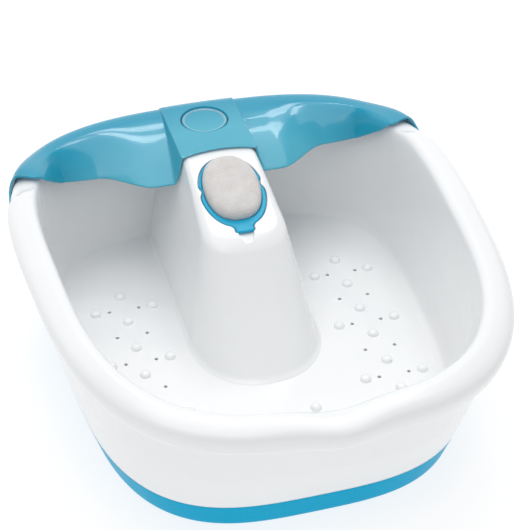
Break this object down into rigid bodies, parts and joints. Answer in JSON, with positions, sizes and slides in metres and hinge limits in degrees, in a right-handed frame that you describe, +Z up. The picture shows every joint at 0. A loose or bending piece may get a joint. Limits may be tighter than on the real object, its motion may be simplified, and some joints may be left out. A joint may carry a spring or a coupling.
{
  "type": "foot spa basin",
  "caption": "White foot bath with a low teal base, a console between the foot wells, a lift-out pumice insert, a translucent splash guard and a toe-pressed power button.",
  "frame": {"origin": "on the surface the basin stands on, below the middle of its length and width", "axes": "+Z up; +Y to the rear, where the toes, the guard and the cord outlet are; +X to the right as seen from the front"},
  "size_m": [0.3518, 0.4154, 0.1409],
  "materials": {
    "white_plastic": "glossy warm white moulding",
    "teal_plastic": "glossy, solid teal blue",
    "cyan_plastic": "glossy, solid cyan blue",
    "clear_teal": "glossy, tinted and see-through",
    "pumice": "matt, fine pores and speckles",
    "black_plastic": "satin",
    "grey_plastic": "satin",
    "circuit_board": "satin green board",
    "wire_cover": "soft insulated wires",
    "rubber": "matt, dark",
    "steel": "zinc-plated or drawn",
    "brass": "sintered bush",
    "aluminium": "rolled plate"
  },
  "bodies": {
    "basin": {"basin_tub": "white_plastic", "outer_body": "white_plastic", "base_pan": "teal_plastic", "splash_guard": "clear_teal", "button_spring": "steel", "switch_bracket": "grey_plastic", "switch_body": "black_plastic", "switch_lead": "wire_cover", "blower_housing": "black_plastic", "blower_cover": "black_plastic", "blower_grommet_1": "rubber", "blower_grommet_2": "rubber", "blower_grommet_3": "rubber", "motor_can": "steel", "motor_bush_lower": "brass", "motor_bush_upper": "brass", "motor_lead": "wire_cover", "air_hose": "rubber", "air_manifold": "grey_plastic", "air_channel_left": "grey_plastic", "air_channel_right": "grey_plastic", "heater_plate": "aluminium", "thermostat": "black_plastic", "heater_lead": "wire_cover", "control_board": "circuit_board", "capacitor": "black_plastic", "terminal_block": "white_plastic", "cord_gland": "rubber", "foot_front_left": "rubber", "foot_front_right": "rubber", "foot_rear_left": "rubber", "foot_rear_right": "rubber", "base_screw_1": "steel", "base_screw_2": "steel", "base_screw_3": "steel", "base_screw_4": "steel", "base_screw_5": "steel", "base_screw_6": "steel"},
    "button": {"toe_button": "clear_teal", "button_plunger": "white_plastic", "switch_actuator": "white_plastic"},
    "pumice": {"pumice_holder": "cyan_plastic", "pumice_stone": "pumice"},
    "fan": {"impeller": "grey_plastic", "motor_shaft": "steel"}
  },
  "joints": [
    {"name": "toe_button_press", "type": "slide", "parent": "basin", "child": "button", "axis": [0, 0, -1], "range_m": [0, 0.0025], "stiffness_N_per_m": 600, "springref_m": -0.001, "deforming": ["button_spring"]},
    {"name": "pumice_lift", "type": "slide", "parent": "basin", "child": "pumice", "axis": [0, -0.248, 0.9688], "range_m": [0, 0.04]},
    {"name": "impeller_spin", "type": "hinge", "parent": "basin", "child": "fan", "pos_m": [0, 0.11, 0.02], "axis": [0, 0, 1], "continuous": true}
  ]
}
